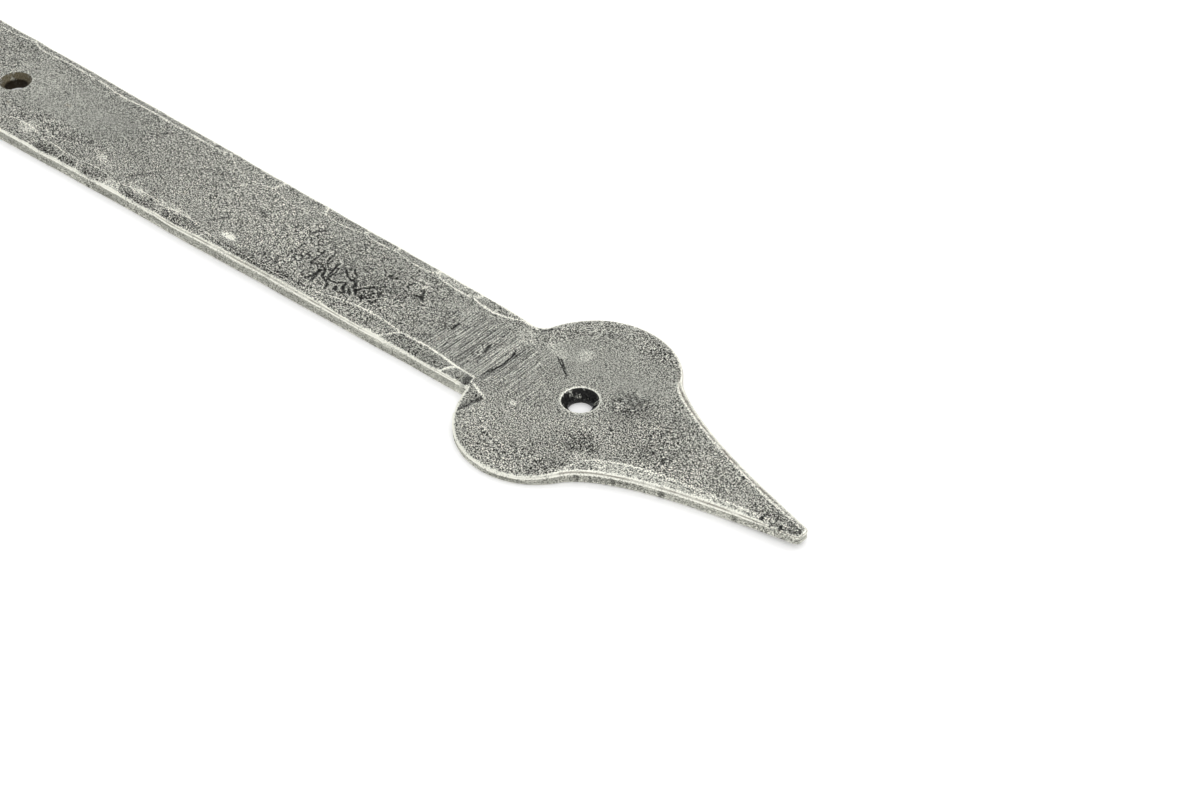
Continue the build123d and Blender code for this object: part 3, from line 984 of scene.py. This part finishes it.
# Hook plate
def plate_piece():
    edge = resample(back_outline("hook_plate"), 0.7, True)
    out = outward(edge, True)
    wave = 0.12 * noise(*edge.T, 12, 61) - 0.12
    edge = edge + wave[:, None] * out

    def ridges(px, py):
        """Hammered flats round the plate's edge."""
        away, _ = nearest(np.stack([px, py], 1), edge)
        around = np.arctan2((py - SHANK_Y) / 56, px / 24) * 50
        table = struck(63, -157, 150, 9, (2.5, 5.5), (0.45, 0.9))
        return facets(around, away, 1.5 + 0.2 * noise(px, py, 9, 62), 0.9, table)

    def front(px, py):
        flat = swells(px, py) * ease(6.5, 9, np.hypot(px, py - SHANK_Y))
        return PLATE_THICKNESS + np.minimum(0, ridges(px, py)[0]) + flat

    def back(px, py):
        return np.zeros(len(px))

    soft = np.full(len(edge), 0.4)
    tenon = (0.0, SHANK_Y), [
        (TENON_RADIUS, 0, False),
        (TENON_RADIUS, RIVET_DEPTH, True),
        (RIVET_RADIUS, 0, True),
    ]
    holes = [screw_hole(*place) for place in PLATE_HOLES] + [tenon]
    low, high = (-25, -103), (25, 12)
    fine, coarse = scatter(low, high, 0.6, 64), scatter(low, high, 2.2, 65)
    flat, faces, zones = plate(edge, out, (soft, soft), front, back, holes, fine, coarse)
    x, y = flat[:, 0], flat[:, 1]
    pit = in_spots(x, y, [(8, -64, 12, 7, 70, 1), (-12, -30, 9, 5, 20, 1)])
    foot = bell(np.hypot(x, y - SHANK_Y) - 7.2, 0.8)
    _, ends, meets = ridges(x, y)
    on_front = zones == FRONT
    masks = {
        "bevel": np.where(on_front, 1.7 * ends, 1.0),
        "meet": np.where(on_front, 1.7 * meets, 1.0),
        "rough": 0.4 + 0.13 * noise(x, y, 22, 66) + 0.2 * pit,
        "tint": -0.2 * foot * on_front + stains(x, y, zones),
        "flank": np.isin(zones, (SIDE, FOOT)) * 1.0,
        "flake": 0.8 * np.clip(pit, 0, 1) * on_front,
        "pock": 0.7 * np.clip(pit, 0, 1) * on_front,
        **hole_masks(x, y, zones, PLATE_HOLES, 0.3),
    }
    masks["brown"] = masks["hole"]
    return piece("hook_plate_forged", "hook", "hook_plate", flat, faces, masks)


# Hook pin: one round bar with a collar, swept from its free end down into the plate
def pin_piece():
    rows = []

    def straight(points):
        for y, r in points:
            rows.append(((0, y, PIN_Z), (0, 0, 1), r, "collar" if r > PIN_RADIUS + 1 else "pin"))

    straight([(PIN_TOP, r) for r in (0.01, 1.5, 3.0, 4.3, 5.2)])
    straight([(PIN_TOP - 0.12, 5.55), (PIN_TOP - 0.5, 5.95), (PIN_TOP - 1.0, 6.5), (PIN_TOP - 1.45, 6.9)])
    straight([(y, PIN_RADIUS) for y in np.arange(PIN_TOP - 1.9, COLLAR_TOP + 0.3, -0.8)])
    straight([(COLLAR_TOP, PIN_RADIUS), (COLLAR_TOP, 9.0), (COLLAR_TOP, 10.9), (COLLAR_TOP - 0.2, 11.55)])
    straight([(y, COLLAR_RADIUS) for y in np.linspace(COLLAR_TOP - 0.7, BEND_TOP + 0.7, 7)])
    straight([(BEND_TOP + 0.2, 11.6), (BEND_TOP, 11.0), (BEND_TOP, 9.0), (BEND_TOP, PIN_RADIUS + 0.15)])
    for turn in np.linspace(0.06, math.pi / 2, 30):
        sine, cosine = math.sin(turn), math.cos(turn)
        at = (0, BEND_TOP - ELBOW_RADIUS * sine, ELBOW_Z + ELBOW_RADIUS * cosine)
        rows.append((at, (0, -sine, cosine), PIN_RADIUS, "bar"))
    for z in np.linspace(ELBOW_Z, PLATE_THICKNESS, 9)[1:]:
        rows.append(((0, SHANK_Y, z), (0, -1, 0), PIN_RADIUS, "bar"))
    tenon = [(PLATE_THICKNESS, TENON_RADIUS), (RIVET_DEPTH, TENON_RADIUS), (0.05, RIVET_RADIUS - 0.05)]
    for z, r in tenon + [(0, r) for r in (7.4, 6, 4.5, 3, 1.5, 0.01)]:
        rows.append(((0, SHANK_Y, z), (0, -1, 0), r, "tenon"))

    count = PIN_POINTS
    turns = np.linspace(0, 2 * math.pi, count, endpoint=False)
    places, kinds = [], []
    for k, (centre, radial, r, kind) in enumerate(rows):
        level, depth, around, size, seed = PIN_LUMPS[kind]
        rough = level + depth * noise(turns * around, np.full(count, k * 0.8), size, seed)
        radius = r + rough * min(1, r / 5)
        round_way = np.outer(np.cos(turns), (1, 0, 0)) + np.outer(np.sin(turns), radial)
        places.append(np.array(centre) + radius[:, None] * round_way)
        kinds += [kind] * count
    places = np.vstack(places)
    places[:, 2] = np.maximum(places[:, 2], 0)
    faces = []
    for k in range(len(rows) - 1):
        for i in range(count):
            j = (i + 1) % count
            a, b = k * count, (k + 1) * count
            faces.append((a + i, a + j, b + j, b + i))
    faces.append(tuple(range(count))[::-1])
    faces.append(tuple((len(rows) - 1) * count + i for i in range(count)))
    kinds = np.array(kinds)
    y, z = places[:, 1], places[:, 2]
    rubbed = (kinds == "pin") * ease(24, 27, y) * 0.12
    foot = bell(z - PLATE_THICKNESS, 0.9) * (kinds == "bar")
    masks = {"rough": 0.42 + 0.12 * noise(y + z, places[:, 0], 14, 74), "tint": rubbed - 0.15 * foot}
    return piece("hook_pin_forged", "hook", "hook_pin", places, faces, masks)


# Patina
class Tree:
    """Short way to write shader nodes."""

    def __init__(self, material):
        self.tree = material.node_tree
        self.tree.nodes.clear()

    def add(self, kind, inputs=(), **settings):
        node = self.tree.nodes.new(kind)
        for key, value in settings.items():
            setattr(node, key, value)
        for key, value in dict(inputs).items():
            socket = node.inputs[key]
            if isinstance(value, bpy.types.NodeSocket):
                self.tree.links.new(value, socket)
            else:
                socket.default_value = value
        return node

    def math(self, operation, a, b=0):
        return self.add("ShaderNodeMath", {0: a, 1: b}, operation=operation).outputs[0]

    def plus(self, a, b):
        return self.math("ADD", a, b)

    def minus(self, a, b):
        return self.math("SUBTRACT", a, b)

    def times(self, a, b):
        return self.math("MULTIPLY", a, b)

    def off(self, value, middle):
        return self.math("ABSOLUTE", self.minus(value, middle))

    def mask(self, name):
        return self.add("ShaderNodeAttribute", attribute_name=name).outputs["Fac"]

    def noise(self, where, scale, detail, roughness=0.5, distortion=0):
        inputs = {"Vector": where, "Scale": scale, "Detail": detail}
        inputs |= {"Roughness": roughness, "Distortion": distortion}
        return self.add("ShaderNodeTexNoise", inputs).outputs["Fac"]

    def range(self, value, low, high, to_low=0, to_high=1):
        inputs = {"Value": value, "From Min": low, "From Max": high, "To Min": to_low, "To Max": to_high}
        return self.add("ShaderNodeMapRange", inputs).outputs["Result"]

    def fade(self, value, low, high):
        return self.range(value, low, high, 1, 0)

    def mix(self, share, a, b):
        return self.add("ShaderNodeMix", {0: share, 6: a, 7: b}, data_type="RGBA").outputs[2]


def patina():
    """Finish of all pieces: a tone from dark to pale, summed up from grain, wear and marks."""
    material = bpy.data.materials.new("pewter_patina")
    material.use_nodes = True
    t = Tree(material)
    where = t.add("ShaderNodeTexCoord").outputs["Object"]
    wear_and_highlight, cavity, crack, flake = (t.mask(n) for n in ("wear_and_highlight", "cavity", "crack", "flake"))
    bevel, meet, rough, grind, tint = (t.mask(n) for n in ("bevel", "meet", "rough", "grind", "tint"))
    flank, rim, line, ticks = (t.mask(n) for n in ("flank", "rim", "line", "ticks"))
    hole, brown, pock = (t.mask(n) for n in ("hole", "brown", "pock"))

    fine = t.noise(where, 3800, 1, 0.6)
    grit = t.noise(where, 2300, 1, 0.5, 0.3)
    patches = t.noise(where, 110, 3, 0.6)
    broad = t.noise(where, 22, 2)
    broken = t.range(t.noise(where, 420, 3, 0.65), 0.36, 0.56, 0.5, 1)

    # Speckle of fine dark pits between pale grains, stronger on rough patches than on smooth ones
    strength = t.times(rough, t.range(patches, 0.35, 0.65, 0.8, 1.2))
    strength = t.times(strength, t.minus(1, t.times(rim, 0.7)))
    strength = t.times(strength, t.minus(1, t.times(flank, 0.5)))
    speckle = t.range(fine, 0.3, 0.56, -1.35, 0.36)
    speckle = t.plus(speckle, t.range(grit, 0.3, 0.52, -1, 0.1))
    speckle = t.times(speckle, strength)

    # Grinding marks across the band
    turned = {"Vector": where, "Rotation": (0, 0, math.radians(4)), "Scale": (1, 0.06, 1)}
    turned = t.add("ShaderNodeMapping", turned).outputs[0]
    waves = {"Vector": turned, "Scale": 390, "Distortion": 5, "Detail": 1, "Detail Scale": 2}
    waves = t.add("ShaderNodeTexWave", waves, bands_direction="X").outputs["Fac"]
    streaks = t.range(t.noise(turned, 3200, 1), 0.34, 0.58, -0.22, 0.1)
    streak = t.times(t.plus(streaks, t.range(waves, 0, 1, -0.13, 0.13)), grind)

    # Streaks along the side faces, and short upright strokes at the waist
    drawn = t.add("ShaderNodeMapping", {"Vector": where, "Scale": (0.07, 0.07, 1)}).outputs[0]
    lines = t.times(t.minus(t.noise(drawn, 1000, 2, 0.6), 0.5), flank)
    upright = t.add("ShaderNodeMapping", {"Vector": where, "Scale": (1, 1, 0.15)}).outputs[0]
    strokes = t.times(t.fade(t.noise(upright, 1100, 1), 0.34, 0.48), ticks)

    # Flaked scale: ragged cracks, and islands with a dark channel and a pale lip round them. The pale lips
    # are painted highlight; the dark of cracks and channels is dark scale, with painted shade
    ragged = t.plus(crack, t.times(t.minus(t.noise(where, 1500, 2, 0.6), 0.5), 0.4))
    groove = t.fade(ragged, -0.02, 0.24)
    lip = t.fade(t.off(ragged, 0.52), 0, 0.22)
    island = t.minus(t.noise(where, 270, 2, 0.6, 0.9), 0.5)
    flaked = t.times(flake, t.range(t.noise(where, 120, 1), 0.36, 0.5))
    channel = t.times(t.fade(t.math("ABSOLUTE", island), 0.014, 0.045), flaked)
    shore = t.times(t.fade(t.off(island, 0.06), 0, 0.03), flaked)
    sunk = t.times(t.fade(island, -0.05, 0), flaked)

    dots = t.noise(where, 950, 1.5, 0.6)
    pits = t.times(t.fade(dots, 0.4, 0.45), pock)
    crown = t.times(t.fade(t.off(dots, 0.5), 0, 0.035), pock)

    # Worn ridges, and edges made pale by wear and by painted highlight
    between = t.fade(t.math("ABSOLUTE", meet), 0.01, 0.06)
    between = t.times(between, t.fade(bevel, -0.8, -0.2))
    ridge = t.math("MAXIMUM", t.fade(t.math("ABSOLUTE", bevel), 0.12, 0.55), between)
    ridge = t.times(ridge, broken)
    edge = t.times(rim, t.range(broken, 0.4, 1, 0.72, 1))
    scuff = t.times(t.math("MAXIMUM", tint, 0), t.range(broken, 0.4, 1, 0.3, 1.5))

    tone = 0.556
    for value, share in (
        (speckle, 1),
        (t.minus(broad, 0.5), 0.1),
        (streak, 1),
        (lines, 0.7),
        # side faces made paler: painted light, as lit from the near side and the floor
        (flank, 0.1),
        (strokes, -0.34),
        (scuff, 1),
        (t.math("MINIMUM", tint, 0), 1),
        (ridge, 0.58),
        (edge, 0.48),
        # convex places paler: wear, and painted highlight
        (t.times(wear_and_highlight, broken), 0.16),
        (cavity, -0.1),
        (groove, -0.43),
        (channel, -0.4),
        (sunk, -0.09),
        (t.times(lip, broken), 0.23),
        (shore, 0.24),
        (pits, -0.55),
        (crown, 0.24),
    ):
        tone = t.plus(t.times(value, share), tone)

    ramp = t.add("ShaderNodeValToRGB", {"Fac": tone})
    stops = [
        (0, (0.012, 0.012, 0.011)),
        (0.26, (0.095, 0.096, 0.088)),
        (0.5, (0.305, 0.31, 0.282)),
        (0.74, (0.58, 0.585, 0.52)),
        (1, (0.95, 0.945, 0.85)),
    ]
    bar = ramp.color_ramp
    while len(bar.elements) < len(stops):
        bar.elements.new(0.5)
    for element, (at, colour) in zip(bar.elements, stops):
        element.position = at
        element.color = (*colour, 1)
    colour = ramp.outputs["Color"]

    rust = t.range(t.noise(where, 260, 3, 0.6), 0.68, 0.76)
    colour = t.mix(t.times(rust, 0.2), colour, (0.42, 0.33, 0.2, 1))
    colour = t.mix(t.times(flank, 0.2), colour, (0.37, 0.365, 0.3, 1))
    thin = t.times(line, t.range(t.noise(where, 180, 2), 0.38, 0.55, 0.3, 1))
    colour = t.mix(t.times(thin, 0.75), colour, (0.12, 0.09, 0.06, 1))
    black = t.times(t.range(hole, 0, 0.4), t.minus(1, t.range(brown, 0, 0.4)))
    # pale flecks in the black: worn spots, and painted glints
    black = t.times(black, t.range(t.noise(where, 520, 1), 0.56, 0.62, 1, 0.25))
    colour = t.mix(t.times(black, 0.96), colour, (0.004, 0.004, 0.005, 1))
    # lighter patches in the brown of the holes: bare metal, and painted glints
    bare_metal_and_glints = t.range(t.noise(where, 330, 2), 0.54, 0.62, 0.9, 0.45)
    colour = t.mix(t.times(t.range(brown, 0.2, 0.55), bare_metal_and_glints), colour, (0.11, 0.09, 0.05, 1))
    colour = t.mix(t.range(brown, 0.6, 1, 0, 0.9), colour, (0.02, 0.013, 0.006, 1))

    roughness = t.minus(t.range(tone, 0.2, 0.9, 0.62, 0.42), t.times(black, 0.38))

    relief = t.plus(t.times(fine, 0.6), t.times(grit, 0.7))
    relief = t.times(relief, t.plus(strength, t.times(black, 3)))
    relief = t.plus(relief, t.times(streak, 2))
    relief = t.minus(relief, t.plus(t.plus(groove, channel), pits))
    bump = t.add("ShaderNodeBump", {"Strength": 0.5, "Distance": 0.00022, "Height": relief})

    shader = t.add(
        "ShaderNodeBsdfPrincipled",
        {"Base Color": colour, "Metallic": 0.8, "Roughness": roughness, "Normal": bump.outputs["Normal"]},
    )
    t.add("ShaderNodeOutputMaterial", {"Surface": shader.outputs[0]})
    return material


pieces = [strap_piece(), spade_piece(), plate_piece(), pin_piece()]
finish = patina()
for obj in pieces:
    obj.data.materials.append(finish)


# Floor, light and camera
def floor():
    mesh = bpy.data.meshes.new("floor")
    half, level = 30, -0.0001
    corners = [(x * half, y * half, level) for x, y in ((-1, -1), (1, -1), (1, 1), (-1, 1))]
    mesh.from_pydata(corners, [], [(0, 1, 2, 3)])
    obj = placed("floor", mesh)
    material = bpy.data.materials.new("white_table")
    material.use_nodes = True
    t = Tree(material)
    seen = t.add("ShaderNodeLightPath").outputs
    shown = t.math("MAXIMUM", seen["Is Glossy Ray"], seen["Is Transmission Ray"])
    shown = t.math("MAXIMUM", seen["Is Camera Ray"], shown)
    diffuse = t.add("ShaderNodeBsdfDiffuse", {"Color": (0.92, 0.92, 0.92, 1)})
    glow = t.add("ShaderNodeEmission", {"Color": (1, 1, 1, 1), "Strength": t.times(shown, 0.25)})
    both = t.add("ShaderNodeAddShader", {0: diffuse.outputs[0], 1: glow.outputs[0]})
    t.add("ShaderNodeOutputMaterial", {"Surface": both.outputs[0]})
    mesh.materials.append(material)


floor()

world = bpy.data.worlds.new("studio")
world.use_nodes = True
sky = Tree(world)
way = sky.add("ShaderNodeTexCoord").outputs["Generated"]
up = sky.add("ShaderNodeVectorMath", {0: way, 1: (0.25, 0.6, 0.76)}, operation="DOT_PRODUCT").outputs["Value"]
seen = sky.add("ShaderNodeLightPath").outputs["Is Camera Ray"]
strength = sky.math("MAXIMUM", seen, sky.range(up, -0.6, 1, 0.72, 1))
dome = sky.add("ShaderNodeBackground", {"Color": (1, 1, 1, 1), "Strength": strength})
sky.add("ShaderNodeOutputWorld", {"Surface": dome.outputs[0]})
bpy.context.scene.world = world

softbox = bpy.data.lights.new("softbox", "AREA")
softbox.shape = "RECTANGLE"
softbox.size, softbox.size_y = 2.0, 1.4
softbox.energy = 9
lamp = placed("softbox", softbox)
lamp.location = (0.6, 1.2, 2.2)
lamp.rotation_euler = (Vector((0.4, 0, 0)) - lamp.location).to_track_quat("-Z", "Y").to_euler()

camera = bpy.data.cameras.new("camera")
camera.lens = 75
camera.sensor_width = 36
camera.clip_start = 0.01
camera_object = placed("camera", camera)
camera_object.location = (0.8622, -0.3712, 0.4235)
camera_object.rotation_euler = (math.radians(49.7), 0, math.radians(40.8))
bpy.context.scene.camera = camera_object
bpy.context.scene.view_settings.view_transform = "Standard"
